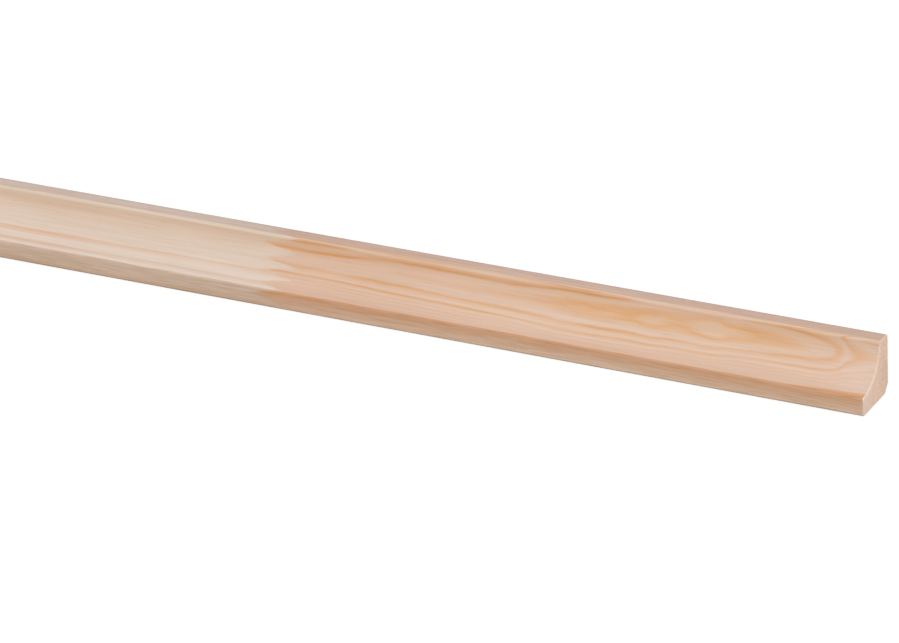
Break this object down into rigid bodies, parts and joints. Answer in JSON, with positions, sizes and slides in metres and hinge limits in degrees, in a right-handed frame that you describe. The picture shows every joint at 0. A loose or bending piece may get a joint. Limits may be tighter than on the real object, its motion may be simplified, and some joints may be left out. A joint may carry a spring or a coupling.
{
  "type": "cornice moulding",
  "caption": "Straight length of square-section, finger-jointed pine cove moulding with a quarter-round hollow between two flat lips, for trimming the angle of wall and ceiling.",
  "frame": {"origin": "middle of the lower fixing face, half way along the length and half way across the section's depth", "axes": "+X along the length, +Y from the hollow front towards the wall face, +Z from the lower fixing face up to the narrow top lip"},
  "size_m": [2.4, 0.018, 0.018],
  "materials": {
    "planed_pine": "bare planed pine, satin, with growth rings, paler sapwood in one board and warmer heartwood in the next, finger-jointed end to end"
  },
  "bodies": {
    "root": {"cornice_moulding": "planed_pine"}
  },
  "joints": []
}
